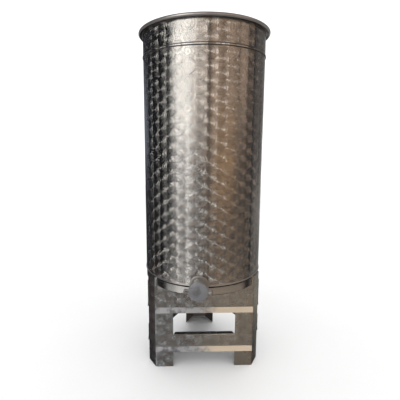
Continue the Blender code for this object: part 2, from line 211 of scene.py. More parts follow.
@contextmanager
def editing(obj, kind="VERT"):
    """Edit mode on obj, everything selected at first."""
    only(obj)
    bpy.ops.object.mode_set(mode="EDIT")
    bpy.ops.mesh.select_mode(type=kind)
    bpy.ops.mesh.select_all(action="SELECT")
    yield bmesh.from_edit_mesh(obj.data)
    bpy.ops.object.mode_set(mode="OBJECT")


def pick(obj, bm, kind, wanted):
    """Selects only the verts, edges or faces that wanted(item) accepts."""
    bpy.ops.mesh.select_all(action="DESELECT")
    for item in getattr(bm, kind):
        if wanted(item):
            item.select_set(True)
    bm.select_flush_mode()
    bmesh.update_edit_mesh(obj.data)


def named(name):
    obj = bpy.context.object
    obj.name = obj.data.name = name
    return obj


def drawn(name, points, closed=False):
    """A wire through the points, drawn by extruding one vertex."""
    bpy.ops.object.select_all(action="DESELECT")
    bpy.ops.mesh.primitive_plane_add(size=0.001)
    obj = named(name)
    points = [Vector(point) for point in points]
    with editing(obj):
        bpy.ops.mesh.merge(type="CENTER")
        bpy.ops.transform.translate(value=points[0])
        for here, there in zip(points, points[1:]):
            bpy.ops.mesh.extrude_region_move(TRANSFORM_OT_translate={"value": there - here})
        if closed:
            bm = bmesh.from_edit_mesh(obj.data)
            pick(obj, bm, "verts", lambda v: len(v.link_edges) == 1)
            bpy.ops.mesh.edge_face_add()
    return obj


def lathed(name, profile, sides, closed=True):
    """Spins a profile of (radius, height) points round Z."""
    obj = drawn(name, [(radius, 0, height) for radius, height in profile], closed)
    with editing(obj):
        bpy.ops.mesh.spin(steps=sides, angle=FULL, center=(0, 0, 0), axis=(0, 0, 1))
        bpy.ops.mesh.select_all(action="SELECT")
        bpy.ops.mesh.remove_doubles(threshold=1e-6)
        bpy.ops.mesh.normals_make_consistent(inside=False)
    return obj


def plate(name, outline, low, high):
    """A flat plate: the outline of (x, y) points is filled and extruded upwards."""
    obj = drawn(name, [(x, y, low) for x, y in outline], closed=True)
    with editing(obj):
        bpy.ops.mesh.edge_face_add()
        bpy.ops.mesh.extrude_region_move(TRANSFORM_OT_translate={"value": (0, 0, high - low)})
        bpy.ops.mesh.select_all(action="SELECT")
        bpy.ops.mesh.normals_make_consistent(inside=False)
    return obj


def rod(name, radius, low, high, sides=32, place=(0, 0)):
    """A round rod along Z, or a prism where it has few sides."""
    bpy.ops.object.select_all(action="DESELECT")
    bpy.ops.mesh.primitive_cylinder_add(
        vertices=sides, radius=radius, depth=high - low, location=(*place, (low + high) / 2)
    )
    obj = named(name)
    settle(obj)
    return obj


def settle(obj, matrix=Matrix.Identity(4)):
    """Puts obj in its place and moves that place into its mesh."""
    only(obj)
    obj.matrix_world = matrix @ obj.matrix_world
    bpy.context.view_layer.update()
    bpy.ops.object.transform_apply(location=True, rotation=True, scale=True)
    return obj


def treated(obj, kind, **settings):
    """Adds a modifier and applies it."""
    only(obj)
    modifier = obj.modifiers.new(kind.lower(), kind)
    for key, value in settings.items():
        setattr(modifier, key, value)
    bpy.ops.object.modifier_apply(modifier=modifier.name)
    return obj


def discarded(obj):
    bpy.data.objects.remove(obj, do_unlink=True)


def combined(obj, tool, operation="DIFFERENCE"):
    """Cuts obj with the tool, or joins them, and deletes the tool."""
    treated(obj, "BOOLEAN", object=tool, operation=operation, solver="EXACT")
    discarded(tool)
    return obj


def eased(obj, width, angle=40, segments=2):
    """Rounds off the sharp edges."""
    return treated(
        obj, "BEVEL", width=width, segments=segments, limit_method="ANGLE", angle_limit=math.radians(angle),
        harden_normals=False,
    )


def thickened(obj, thickness, outward):
    """Gives a surface its wall, away from the side that faces outward, which stays where it is."""
    with editing(obj, "FACE") as bm:
        facing = sum(f.normal.dot(outward(f.calc_center_median())) * f.calc_area() for f in bm.faces)
        if facing < 0:
            bpy.ops.mesh.flip_normals()
    return treated(obj, "SOLIDIFY", thickness=thickness, offset=-1.0, use_even_offset=True)


def copied(obj, name, matrix):
    """A copy with its own mesh, put in another place."""
    twin = obj.copy()
    twin.data = obj.data.copy()
    twin.name = twin.data.name = name
    bpy.context.scene.collection.objects.link(twin)
    return settle(twin, matrix)


def joined(pieces, name):
    bpy.ops.object.select_all(action="DESELECT")
    for piece in pieces:
        piece.select_set(True)
    bpy.context.view_layer.objects.active = pieces[0]
    bpy.ops.object.join()
    return named(name)


def finished(obj, finish, nodes=(), body="root", smooth=30):
    """Shading, material, body and the CAD nodes it stands for."""
    only(obj)
    bpy.ops.object.shade_smooth_by_angle(angle=math.radians(smooth))
    if not obj.data.materials:
        obj.data.materials.append(material(finish))
    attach(obj, body)
    if nodes:
        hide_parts(*nodes)
    return obj


def arc(centre, radius, start, end, steps):
    """Points on a circle, angles in degrees, both ends included."""
    angles = [math.radians(start + (end - start) * i / steps) for i in range(steps + 1)]
    return [(centre[0] + radius * math.cos(a), centre[1] + radius * math.sin(a)) for a in angles]


def about_axis(angle):
    """A turn about the tank's axis."""
    return Matrix.Translation(AXIS) @ Matrix.Rotation(angle, 4, "Z")


def on_axis(obj):
    """Moves what was made round the origin to the tank's axis."""
    return settle(obj, Matrix.Translation(AXIS))


def raised(points, height):
    return [(x, z + height) for x, z in points]


def outwards(face):
    """How much a face looks away from the tank's axis; below 0 it looks inwards."""
    return face.normal.dot(face.calc_center_median().xy.to_3d() - AXIS)


def painted(obj, finishes, *tests):
    """Lays the first finish on obj, and each next one on the faces that its test accepts."""
    for finish in finishes:
        obj.data.materials.append(material(finish))
    with editing(obj, "FACE") as bm:
        for index, wanted in enumerate(tests, 1):
            pick(obj, bm, "faces", wanted)
            obj.active_material_index = index
            bpy.ops.object.material_slot_assign()
    return obj


# Node helpers


def feed(tree, socket, value):
    """Links the socket to another one, or sets its value."""
    if isinstance(value, bpy.types.NodeSocket):
        tree.links.new(value, socket)
    else:
        socket.default_value = value


def fill(tree, sockets, values):
    """Feeds several sockets, by name or number."""
    for key, value in values.items():
        feed(tree, sockets[key], value)


def add(tree, kind, inputs=None, **settings):
    """A node of that kind; inputs may be sockets or values."""
    node = tree.nodes.new("ShaderNode" + kind)
    for key, value in settings.items():
        setattr(node, key, value)
    fill(tree, node.inputs, inputs or {})
    return node


def calc(tree, operation, *values):
    return add(tree, "Math", dict(enumerate(values)), operation=operation).outputs[0]


def weighed(tree, base, *parts):
    """The base plus each part times its weight."""
    for part, weight in parts:
        base = calc(tree, "MULTIPLY_ADD", part, weight, base)
    return base


def vec(tree, operation, *values, output="Vector", scale=None):
    node = add(tree, "VectorMath", dict(enumerate(values)), operation=operation)
    if scale is not None:
        feed(tree, node.inputs["Scale"], scale)
    return node.outputs[output]


def split(tree, vector):
    """The X, Y and Z of a vector."""
    return tuple(add(tree, "SeparateXYZ", {"Vector": vector}).outputs)


def merge(tree, x, y, z=0.0):
    return add(tree, "CombineXYZ", {"X": x, "Y": y, "Z": z}).outputs[0]


def spread(tree, value, low, high):
    """Rises smoothly from 0 to 1 while the value goes from low to high."""
    inputs = {"Value": value, "From Min": low, "From Max": high}
    return add(tree, "MapRange", inputs, interpolation_type="SMOOTHSTEP").outputs[0]


def blend(tree, factor, one, other):
    """One colour where the factor is 0, the other where it is 1."""
    return add(tree, "Mix", {"Factor": factor, 6: one, 7: other}, data_type="RGBA").outputs[2]


def scaled(tint, share):
    """A darker or lighter tint, with its alpha."""
    return (*(channel * share for channel in tint), 1)


def noise(tree, vector, scale, detail=2.0, roughness=0.5, distortion=0.0):
    inputs = {"Vector": vector, "Scale": scale, "Detail": detail, "Roughness": roughness}
    return add(tree, "TexNoise", {**inputs, "Distortion": distortion}).outputs[0]


def dice(tree, dimensions, **inputs):
    """A random value and colour for each place."""
    return add(tree, "TexWhiteNoise", inputs, noise_dimensions=dimensions).outputs


def bump(tree, **inputs):
    return add(tree, "Bump", inputs).outputs[0]


def object_place(tree):
    return add(tree, "TexCoord").outputs["Object"]


def group(name, inputs, outputs):
    """An empty shader group; inputs maps names to defaults, outputs maps names to kinds."""
    tree = bpy.data.node_groups.new(name, "ShaderNodeTree")
    for label, default in inputs.items():
        kind = "Float" if isinstance(default, float) else {3: "Vector", 4: "Color"}[len(default)]
        socket = tree.interface.new_socket(label, in_out="INPUT", socket_type="NodeSocket" + kind)
        socket.default_value = default
    for label, kind in outputs.items():
        tree.interface.new_socket(label, in_out="OUTPUT", socket_type="NodeSocket" + kind)
    start = tree.nodes.new("NodeGroupInput")
    end = tree.nodes.new("NodeGroupOutput")
    return tree, start.outputs, end.inputs


def use_group(tree, name, builder, inputs):
    """A node with the group of that name, which is built the first time."""
    inner = bpy.data.node_groups.get(name) or builder()
    return add(tree, "Group", inputs, node_tree=inner).outputs


# Shared effects


# How far a column of circles strays up or down, as a share of the row pitch
COLUMN_STRAY = 0.02
# How far a circle strays from its place
CIRCLE_STRAY = 0.0012
# How strongly the scratches keep near level
SCRATCH_PEAK = 1.6
# Almost straight up, so that level faces have a sideways direction too
NEARLY_UP = (0.003, 0.001, 1.0)


def circle_column_group():
    """In one column of polished circles: the circle on top at this place, and where we are on it."""
    tree, inp, out = group(
        "Circle Column",
        {"Across": 0.0, "Up": 0.0, "Column": 0.0, "Column Pitch": 0.04, "Row Pitch": 0.05, "Radius": 0.033},
        {"Inside": "Float", "Across Circle": "Float", "Up Circle": "Float", "Row": "Float"},
    )
    across = calc(tree, "SUBTRACT", inp["Across"], calc(tree, "MULTIPLY", inp["Column"], inp["Column Pitch"]))
    squared = calc(tree, "SUBTRACT", calc(tree, "MULTIPLY", inp["Radius"], inp["Radius"]),
                   calc(tree, "MULTIPLY", across, across))
    half = calc(tree, "SQRT", calc(tree, "MAXIMUM", squared, 0.0))
    odd = calc(tree, "FLOORED_MODULO", inp["Column"], 2.0)
    stray = calc(tree, "MULTIPLY", dice(tree, "1D", W=inp["Column"])["Value"], COLUMN_STRAY)
    stagger = calc(tree, "MULTIPLY", calc(tree, "MULTIPLY_ADD", odd, 0.5, stray), inp["Row Pitch"])
    height = calc(tree, "SUBTRACT", inp["Up"], stagger)
    row = calc(tree, "FLOOR", calc(tree, "DIVIDE", calc(tree, "ADD", height, half), inp["Row Pitch"]))
    up = calc(tree, "SUBTRACT", height, calc(tree, "MULTIPLY", row, inp["Row Pitch"]))
    covered = calc(tree, "LESS_THAN", up, half)
    fill(tree, out, {"Inside": covered, "Across Circle": across, "Up Circle": up, "Row": row})
    return tree


def sheet_directions(tree):
    """On a face: its normal, the level direction along it and the direction up it."""
    normal = vec(tree, "NORMALIZE", add(tree, "TexCoord").outputs["Normal"])
    sideways = vec(tree, "NORMALIZE", vec(tree, "CROSS_PRODUCT", NEARLY_UP, normal))
    return normal, sideways, vec(tree, "CROSS_PRODUCT", normal, sideways)


def jewelling_group():
    """Overlapping circles of circular scratches: a normal that scatters along each circle's radius."""
    tree, inp, out = group(
        "Jewelling",
        {"Across": 0.0, "Up": 0.0, "Column Pitch": 0.04, "Row Pitch": 0.05, "Radius": 0.033,
         "Ring Pitch": 0.0005, "Spread": 0.9, "Dish": 0.03},
        {"Normal": "Vector", "Tone": "Float", "Scratch": "Float", "Edge": "Float"},
    )
    shared = {key: inp[key] for key in ("Across", "Up", "Column Pitch", "Row Pitch", "Radius")}
    left = calc(tree, "SUBTRACT", inp["Across"], inp["Radius"])
    column = calc(tree, "CEIL", calc(tree, "DIVIDE", left, inp["Column Pitch"]))
    next_column = calc(tree, "ADD", column, 1.0)
    first, second = (
        use_group(tree, "Circle Column", circle_column_group, {**shared, "Column": number})
        for number in (column, next_column)
    )

    def chosen(label):
        inputs = {"Factor": first["Inside"], 2: second[label], 3: first[label]}
        return add(tree, "Mix", inputs, data_type="FLOAT").outputs[0]

    across, up, row = chosen("Across Circle"), chosen("Up Circle"), chosen("Row")
    own_column = calc(tree, "SUBTRACT", next_column, first["Inside"])
    chance = dice(tree, "2D", Vector=merge(tree, own_column, row))
    offset = vec(tree, "SUBTRACT", chance["Color"], (0.5, 0.5, 0.5))
    wobble = split(tree, vec(tree, "SCALE", offset, scale=CIRCLE_STRAY))
    across = calc(tree, "ADD", across, wobble[0])
    up = calc(tree, "ADD", up, wobble[1])
    radius = calc(tree, "SQRT", calc(tree, "ADD", calc(tree, "MULTIPLY", across, across),
                                     calc(tree, "MULTIPLY", up, up)))
    ring = calc(tree, "FLOOR", calc(tree, "DIVIDE", radius, inp["Ring Pitch"]))
    scratch = dice(tree, "3D", Vector=merge(tree, ring, own_column, row))["Value"]
    signed = calc(tree, "MULTIPLY_ADD", scratch, 2.0, -1.0)
    steep = calc(tree, "POWER", calc(tree, "ABSOLUTE", signed), SCRATCH_PEAK)
    out_on_circle = calc(tree, "DIVIDE", radius, inp["Radius"])
    dish = calc(tree, "MULTIPLY", out_on_circle, inp["Dish"])
    lean = calc(tree, "MULTIPLY_ADD", calc(tree, "MULTIPLY", signed, steep), inp["Spread"], dish)
    normal, sideways, upwards = sheet_directions(tree)
    tilted, safe = normal, calc(tree, "MAXIMUM", radius, 1e-4)
    for direction, distance in ((sideways, across), (upwards, up)):
        tilt = calc(tree, "MULTIPLY", lean, calc(tree, "DIVIDE", distance, safe))
        tilted = vec(tree, "ADD", tilted, vec(tree, "SCALE", direction, scale=tilt))
    world = add(tree, "VectorTransform", {"Vector": vec(tree, "NORMALIZE", tilted)},
                vector_type="NORMAL", convert_from="OBJECT", convert_to="WORLD").outputs[0]
    edge = spread(tree, out_on_circle, 0.93, 1.0)
    fill(tree, out, {"Normal": world, "Tone": chance["Value"], "Scratch": scratch, "Edge": edge})
    return tree


def smudge_group():
    """Wiped grime and handling marks on sheet metal: a mask, a fine grain and slow waves in the sheet."""
    tree, inp, out = group(
        "Sheet Marks",
        {"Vector": (0, 0, 0), "Smudge Scale": 6.0, "Grain Across": 60.0, "Grain Up": 900.0},
        {"Smudge": "Float", "Grain": "Float", "Wave": "Float", "Speck": "Float"},
    )
    place = inp["Vector"]
    wide = noise(tree, place, inp["Smudge Scale"], detail=5.0, roughness=0.6, distortion=0.6)
    stretch = merge(tree, inp["Grain Across"], inp["Grain Across"], inp["Grain Up"])
    fill(tree, out, {
        "Smudge": spread(tree, wide, 0.42, 0.68),
        "Grain": noise(tree, vec(tree, "MULTIPLY", place, stretch), 1.0, detail=3.0, roughness=0.7),
        "Wave": noise(tree, place, 3.2, detail=1.0),
        "Speck": spread(tree, noise(tree, place, 85.0), 0.66, 0.76),
    })
    return tree


# Materials


# Share of the scratches' spread that is left on the stand's warm side
FADED = 0.55


def round_place(tree):
    """The place itself, and the distances round the tank's wall and up it, in metres."""
    scene = bpy.context.scene
    place = object_place(tree)
    x, y, z = split(tree, vec(tree, "SUBTRACT", place, tuple(AXIS)))
    angle = calc(tree, "ARCTAN2", x, calc(tree, "MULTIPLY", y, -1.0))
    around = calc(tree, "MULTIPLY", angle, scene.tank_sizes.radius)
    across = calc(tree, "SUBTRACT", around, scene.finish_settings.column_start)
    return place, across, calc(tree, "SUBTRACT", z, scene.finish_settings.row_start)


def flat_place(tree):
    """The place itself, and the distances along a flat sheet and up it, in metres."""
    place = object_place(tree)
    _, *directions = sheet_directions(tree)
    return place, *(vec(tree, "DOT_PRODUCT", place, way, output="Value") for way in directions)


def side_reflection_group():
    """Painted reflection: cool and dull towards -X, warm towards +X, and a patchy border between."""
    tree, inp, out = group(
        "Sided Tint",
        {"Vector": (0, 0, 0), "Cool": (0.5, 0.5, 0.5, 1), "Warm": (0.7, 0.6, 0.5, 1), "Width": 0.05},
        {"Color": "Color", "Cool Side": "Float"},
    )
    across = split(tree, inp["Vector"])[0]
    ragged = weighed(tree, across, (noise(tree, inp["Vector"], 14.0, detail=3.0), 0.12))
    border = calc(tree, "SUBTRACT", ragged, 0.085)
    warm = spread(tree, border, calc(tree, "MULTIPLY", inp["Width"], -1.0), inp["Width"])
    tint = blend(tree, warm, inp["Cool"], inp["Warm"])
    fill(tree, out, {"Color": tint, "Cool Side": calc(tree, "SUBTRACT", 1.0, warm)})
    return tree


def side_reflection(tree, place, cool, warm, width):
    inputs = {"Vector": place, "Cool": (*cool, 1), "Warm": (*warm, 1), "Width": width}
    return use_group(tree, "Sided Tint", side_reflection_group, inputs)


def opened(made):
    """A material, its nodes and its main shader's inputs."""
    return made, made.node_tree, made.node_tree.nodes["Principled BSDF"].inputs


def shader(name):
    made = bpy.data.materials.new(name)
    made.use_nodes = True
    return opened(made)


def jewelled(name, place_of, tint, spread_scale, rough, smudge_scale, warm=None):
    """Sheet with the jewelled finish; with a second, warm tint it gets a painted reflection, cool towards -X
    and warm towards +X, and the finish fades towards +X.
    """
    settings = bpy.context.scene.finish_settings
    made, tree, bsdf = shader(name)
    place, across, up = place_of(tree)
    reach = settings.scratch_spread * spread_scale
    sheet_colour = (*tint, 1)
    if warm:
        # Painted reflection: cool towards -X, warm towards +X
        sides = side_reflection(tree, place, tint, warm, 0.09)
        sheet_colour = sides["Color"]
        reach = weighed(tree, FADED * reach, (sides["Cool Side"], (1 - FADED) * reach))
    circles = use_group(tree, "Jewelling", jewelling_group, {
        "Across": across, "Up": up, "Column Pitch": settings.column_pitch, "Row Pitch": settings.row_pitch,
        "Radius": settings.disc_radius, "Ring Pitch": settings.ring_pitch, "Spread": reach, "Dish": 0.02,
    })
    marks = use_group(tree, "Sheet Marks", smudge_group, {"Vector": place, "Smudge Scale": smudge_scale})
    shade = weighed(tree, 0.89, (circles["Tone"], 0.08), (circles["Scratch"], 0.06), (circles["Edge"], -0.06),
                    (marks["Smudge"], -0.08))
    fill(tree, bsdf, {
        "Base Color": blend(tree, shade, scaled(tint, 0.25), sheet_colour),
        "Roughness": weighed(tree, rough, (marks["Smudge"], 0.08), (circles["Scratch"], 0.06)),
        "Metallic": 1.0,
        "Normal": bump(tree, Height=marks["Wave"], Normal=circles["Normal"], Distance=0.004, Strength=0.28),
    })
    return made


def plain(name, tint, rough, grain=(60.0, 900.0), wave=0.3, smudge_scale=8.0, metallic=1.0, soil=0.12):
    """Sheet or turned metal with grain (across, up), handling marks and slow waves."""
    made, tree, bsdf = shader(name)
    marks = use_group(tree, "Sheet Marks", smudge_group, {
        "Vector": object_place(tree), "Smudge Scale": smudge_scale,
        "Grain Across": grain[0], "Grain Up": grain[1],
    })
    shade = weighed(tree, 0.86, (marks["Grain"], 0.16), (marks["Smudge"], -soil), (marks["Speck"], -0.15))
    fine = bump(tree, Height=marks["Grain"], Distance=0.0001, Strength=0.4)
    fill(tree, bsdf, {
        "Base Color": blend(tree, shade, scaled(tint, 0.2), (*tint, 1)),
        "Roughness": weighed(tree, rough, (marks["Smudge"], 0.14), (marks["Grain"], 0.10)),
        "Metallic": metallic,
        "Normal": bump(tree, Height=marks["Wave"], Normal=fine, Distance=0.004, Strength=wave),
    })
    return made


def seam_shaded_band(name, tint, rough, line, reach):
    """Plain sheet, darkened to near black just under the seam that lies at height line: painted shade under
    the seam.
    """
    made, tree, bsdf = opened(plain(name, tint, rough))
    sheet_colour = bsdf["Base Color"].links[0].from_socket
    place = object_place(tree)
    ragged = weighed(tree, line - 1.5 * reach, (noise(tree, place, 40.0, detail=3.0), reach))
    # Painted shade: near black just under the seam, with a ragged lower edge
    seam_shade = spread(tree, split(tree, place)[2], ragged, calc(tree, "ADD", ragged, reach * 0.4))
    fill(tree, bsdf, {
        "Base Color": blend(tree, seam_shade, sheet_colour, (0.02, 0.018, 0.016, 1)),
        "Roughness": weighed(tree, rough, (seam_shade, 0.4)),
    })
    return made


def lip(name, cool, warm):
    """Flared edge of aprons and rails, half metallic; its colour is a painted reflection, cool towards -X and
    cream towards +X, with dark patches laid on the cool side.
    """
    made, tree, bsdf = opened(plain(name, warm, 0.30, wave=0.2, metallic=0.5))
    place = object_place(tree)
    # Painted reflection: cool towards -X, cream towards +X
    sides = side_reflection(tree, place, cool, warm, 0.05)
    dark_patches = spread(tree, noise(tree, place, 22.0, detail=4.0, roughness=0.6), 0.46, 0.62)
    cool_side_patches = calc(tree, "MULTIPLY", dark_patches, calc(tree, "MULTIPLY", sides["Cool Side"], 0.75))
    feed(tree, bsdf["Base Color"], blend(tree, cool_side_patches, sides["Color"], (0.07, 0.07, 0.075, 1)))
    return made


def weld(name):
    """Weld bead: ripples across its run, straw and blue heat tints."""
    made, tree, bsdf = shader(name)
    place = object_place(tree)
    ripple = add(tree, "TexWave", {"Vector": place, "Scale": 90.0, "Distortion": 2.0, "Detail": 1.0},
                 bands_direction="Z").outputs["Fac"]
    heat = spread(tree, noise(tree, place, 28.0), 0.35, 0.65)
    tinted = blend(tree, heat, (0.60, 0.47, 0.30, 1), (0.42, 0.43, 0.50, 1))
    fill(tree, bsdf, {
        "Base Color": blend(tree, calc(tree, "MULTIPLY", ripple, 0.4), tinted, (0.62, 0.60, 0.57, 1)),
        "Roughness": weighed(tree, 0.28, (ripple, 0.15)),
        "Metallic": 1.0,
        "Normal": bump(tree, Height=ripple, Distance=0.0004, Strength=0.8),
    })
    return made


# Finishes made by plain(): the setting with their tint, their roughness and what else differs
PLAIN_FINISHES = {
    "Outlet sheet": ("outlet", 0.34, {"grain": (200.0, 200.0), "metallic": 0.85}),
    "Inner sheet": ("plain", 0.34, {"wave": 0.2, "metallic": 0.7}),
    "Rolled edge": ("rolled", 0.24, {"grain": (25.0, 700.0), "wave": 0.1, "metallic": 0.85}),
    # Painted shade: a dark sheet for faces that lie in shade
    "Mill sheet": ("inside", 0.40, {"grain": (120.0, 120.0), "soil": 0.3}),
    "Gate casting": ("casting", 0.32, {
        "grain": (350.0, 350.0), "smudge_scale": 22.0, "metallic": 0.7, "soil": 0.5,
    }),
    "Turned screw": ("screws", 0.24, {"grain": (300.0, 1500.0), "wave": 0.0, "smudge_scale": 60.0}),
    "Gate seal": ("seal", 0.55, {
        "grain": (400.0, 400.0), "wave": 0.1, "smudge_scale": 40.0, "metallic": 0.0,
    }),
}


def material(name):
    """A finish by name, made the first time it is asked for."""
    if name in bpy.data.materials:
        return bpy.data.materials[name]
    tints = bpy.context.scene.finish_settings
    if name in PLAIN_FINISHES:
        tint, rough, settings = PLAIN_FINISHES[name]
        return plain(name, getattr(tints, tint), rough, **settings)
    makers = {
        "Jewelled shell": lambda: jewelled(name, round_place, tints.steel, 1.0, 0.13, 5.0),
        "Jewelled stand": lambda: jewelled(name, flat_place, tints.stand, 0.75, 0.24, 9.0, tints.warm),
        "Skirt sheet": lambda: seam_shaded_band(name, tints.plain, 0.18, SHELL_LOW.z, 0.007),
        "Bright edge": lambda: lip(name, tints.dull, tints.bright),
        "Weld bead": lambda: weld(name),
    }
    return makers[name]()


# The tank's own pieces


# Outline of the hem: shares of how far it stands out, and of its height
HEM = ((0.3, 0.0), (0.8, 0.08), (1.0, 0.3), (1.0, 0.6), (0.75, 0.85), (0.2, 1.0), (0.0, 1.15))
# One flank of the rib, from its edge to its middle: shares of its half-width, and of its depth
RIB_FLANK = ((1.0, 0.0), (0.9, 0.06), (0.76, 0.3), (0.54, 0.8), (0.4, 0.97), (0.2, 1.0))
# The rim is rolled from the wall's side, over the top and round to this angle
ROLL_START, ROLL_END, ROLL_STEPS = 180, -140, 24


def pierced(wall):
    """Cuts the outlet's hole in a round wall."""
    s, valve = bpy.context.scene.tank_sizes, bpy.context.scene.valve_sizes
    hole = rod("hole", valve.neck_radius + s.gap, s.radius - 0.02, s.radius + 0.02, 64)
    return combined(wall, settle(hole, GATE))


class TANK_OT_shell(bpy.types.Operator):
    """Round wall of jewelled sheet, with its rib, hem, outlet hole and the weld up its back"""

    bl_idname = "tank.shell"
    bl_label = "Shell"

    def execute(self, context):
        s = context.scene.tank_sizes
        low, top = SHELL_LOW.z, SHELL_HIGH.z
        hem = s.hem_radius - s.radius
        outside = [(s.radius + hem * out, low + s.hem_height * up) for out, up in HEM]
        rib = [(s.rib_depth * out, s.rib_height - s.rib_half * up) for up, out in RIB_FLANK]
        rib += [(s.rib_depth * out, s.rib_height + s.rib_half * up) for up, out in reversed(RIB_FLANK)]
        # Rings beside the hem and the rib keep the shading of the plain wall between them level
        level = [low + s.hem_height + 0.003, s.rib_height - s.rib_half - 0.002]
        above = s.rib_height + s.rib_half + 0.002
        outside += [(s.radius, z) for z in level] + [(s.radius + out, z) for out, z in rib]
        outside += [(s.radius, above), (s.radius, top)]
        inner = s.radius - s.sheet
        inside = [(inner, top), (inner, above)] + [(inner + out, z) for out, z in reversed(rib)]
        inside += [(inner, z) for z in reversed(level)] + [(inner, low)]
        wall = pierced(on_axis(lathed("shell_sheet", outside + inside, s.sides)))

        def on_hem(face):
            return face.calc_center_median().z < low + s.hem_height * 1.1 and outwards(face) > 0

        def steep_on_rib(face):
            near = abs(face.calc_center_median().z - s.rib_height) < s.rib_half
            return near and abs(face.normal.z) > 0.4 and outwards(face) > 0

        # The rib's steep flanks get the dark sheet: painted shade, seen as two dark lines
        finishes = ("Jewelled shell", "Inner sheet", "Rolled edge", "Mill sheet")
        painted(wall, finishes, lambda face: outwards(face) < 0, on_hem, steep_on_rib)
        finished(wall, "Jewelled shell", ["shell_wall"], smooth=35)

        half, sunk, proud = s.weld_width / 2, -0.0002, 0.0004
        shoulder = [(half * side * 0.7, proud * 0.6) for side in (-1, 1)]
        section = [(-half, sunk), shoulder[0], (0, proud), shoulder[1], (half, sunk)]
        bead = plate("shell_weld", section, 0, s.rib_height - s.rib_half - low - s.hem_height * 1.3)
        lift = Matrix.Translation((AXIS.x, AXIS.y + s.radius, low + s.hem_height * 1.2))
        finished(settle(bead, lift), "Weld bead")
        return {"FINISHED"}


class TANK_OT_rim(bpy.types.Operator):
    """Top edge rolled outwards into an open bead"""

    bl_idname = "tank.rim"
    bl_label = "Rolled rim"

    def execute(self, context):
        s = context.scene.tank_sizes
        outer = RIM_HIGH.x - AXIS.x
        wide = (outer - s.radius) / 2 + s.sheet / 2
        tall = RIM_HIGH.z - SHELL_HIGH.z
        middle = (outer - wide, RIM_HIGH.z - tall)
        turned = ROLL_END - ROLL_START
        angles = [math.radians(ROLL_START + turned * i / ROLL_STEPS) for i in range(ROLL_STEPS + 1)]

        def curl(inset):
            across, up = wide - inset, tall - inset
            return [(middle[0] + across * math.cos(a), middle[1] + up * math.sin(a)) for a in angles]

        rim = on_axis(lathed("rim_roll", curl(0) + curl(s.sheet)[::-1], s.sides))
        # The rim's underside gets the dark sheet: painted shade under the roll
        painted(rim, ("Rolled edge", "Mill sheet"), lambda face: face.normal.z < -0.93)
        finished(rim, "Rolled edge", ["rolled_rim"], smooth=40)
        return {"FINISHED"}


class TANK_OT_bottom(bpy.types.Operator):
    """Plain band under the seam, the bottom and its inner weld"""

    bl_idname = "tank.bottom"
    bl_label = "Bottom"

    def execute(self, context):
        s = context.scene.tank_sizes
        outer = s.radius - s.sheet - s.gap
        inner = outer - s.skirt_sheet
        low, high = SKIRT_LOW.z, SKIRT_HIGH.z
        ease = 0.0012
        profile = [(outer, high), (outer, low + 3 * ease), (outer, low + ease),
                   (outer - ease * 0.3, low + ease * 0.3), (inner, low), (inner, high)]
        band = pierced(on_axis(lathed("skirt_band", profile, s.sides)))
        finished(band, "Skirt sheet", ["bottom_skirt"], smooth=35)
        disc = frame["nodes"]["bottom_plate"]
        disc.data.materials.clear()
        disc.data.materials.append(material("Inner sheet"))
        floor_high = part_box("bottom_plate")[1]
        reach = floor_high.x - AXIS.x
        fillet = [(reach, 0), (reach, 0.004), (reach - 0.0012, 0.0034), (reach - 0.0034, 0.0012),
                  (reach - 0.004, 0)]
        bead = lathed("bottom_weld", raised(fillet, floor_high.z), s.sides)
        finished(on_axis(bead), "Weld bead")
        return {"FINISHED"}


# The stand


def leg_positions(stand):
    return {"rear": stand.turned, "front_left": stand.turned + THIRD, "front_right": stand.turned - THIRD}


def rail_positions(stand):
    facing = stand.turned + math.pi
    return {"front": facing, "rear_right": facing + THIRD, "rear_left": facing - THIRD}


def rail_lift(stand, name):
    return {"front": 0.0, "rear_right": stand.right_lift, "rear_left": stand.left_lift}[name]


def strip_face(stand):
    """How far the outer faces of aprons and rails stand from the tank's axis."""
    return (stand.long_side + 2 * stand.leg_web) / (2 * math.sqrt(3)) + LAP + stand.rail_sheet


class TANK_OT_legs(bpy.types.Operator):
    """Three folded sheet legs, trimmed round the tank's bottom"""

    bl_idname = "tank.legs"
    bl_label = "Legs"

    def execute(self, context):
        s, tank = context.scene.stand_sizes, context.scene.tank_sizes
        reach = (s.leg_web + 2 * s.long_side) / (2 * math.sqrt(3))
        half = s.leg_web / 2
        step = Vector((math.cos(math.radians(60)), -math.sin(math.radians(60)))) * s.leg_flange
        section = [(-half - step.x, reach + step.y, 0), (-half, reach, 0), (half, reach, 0),
                   (half + step.x, reach + step.y, 0)]
        height = LEG_HIGH.z
        leg = drawn("leg", section)

        def on_fold(edge):
            return abs(edge.verts[0].co.z - edge.verts[1].co.z) > 0.1 and not edge.is_boundary

        with editing(leg, "EDGE"):
            bpy.ops.mesh.extrude_region_move(TRANSFORM_OT_translate={"value": (0, 0, height)})
            pick(leg, bmesh.from_edit_mesh(leg.data), "edges", on_fold)
            bpy.ops.mesh.bevel(offset=s.leg_fold, offset_type="OFFSET", segments=5, affect="EDGES")
        thickened(leg, s.leg_sheet, lambda centre: Vector((centre.x, centre.y, 0)))
        eased(leg, 0.0003, 60, 1)
        # The legs' inner faces get the dark sheet: painted shade
        painted(leg, ("Jewelled stand", "Mill sheet"), lambda face: face.normal.y < -0.2)
        plate_low = SKIRT_LOW.z - s.rail_sheet - 2 * tank.gap
        for name, angle in leg_positions(s).items():
            piece = copied(leg, "leg_sheet_" + name, about_axis(angle))
            room = rod("room", tank.radius - tank.sheet + 2 * tank.gap, plate_low, height + 0.01, tank.sides)
            combined(piece, on_axis(room))
            finished(piece, "Jewelled stand", ["leg_" + name], smooth=30)
        discarded(leg)
        return {"FINISHED"}


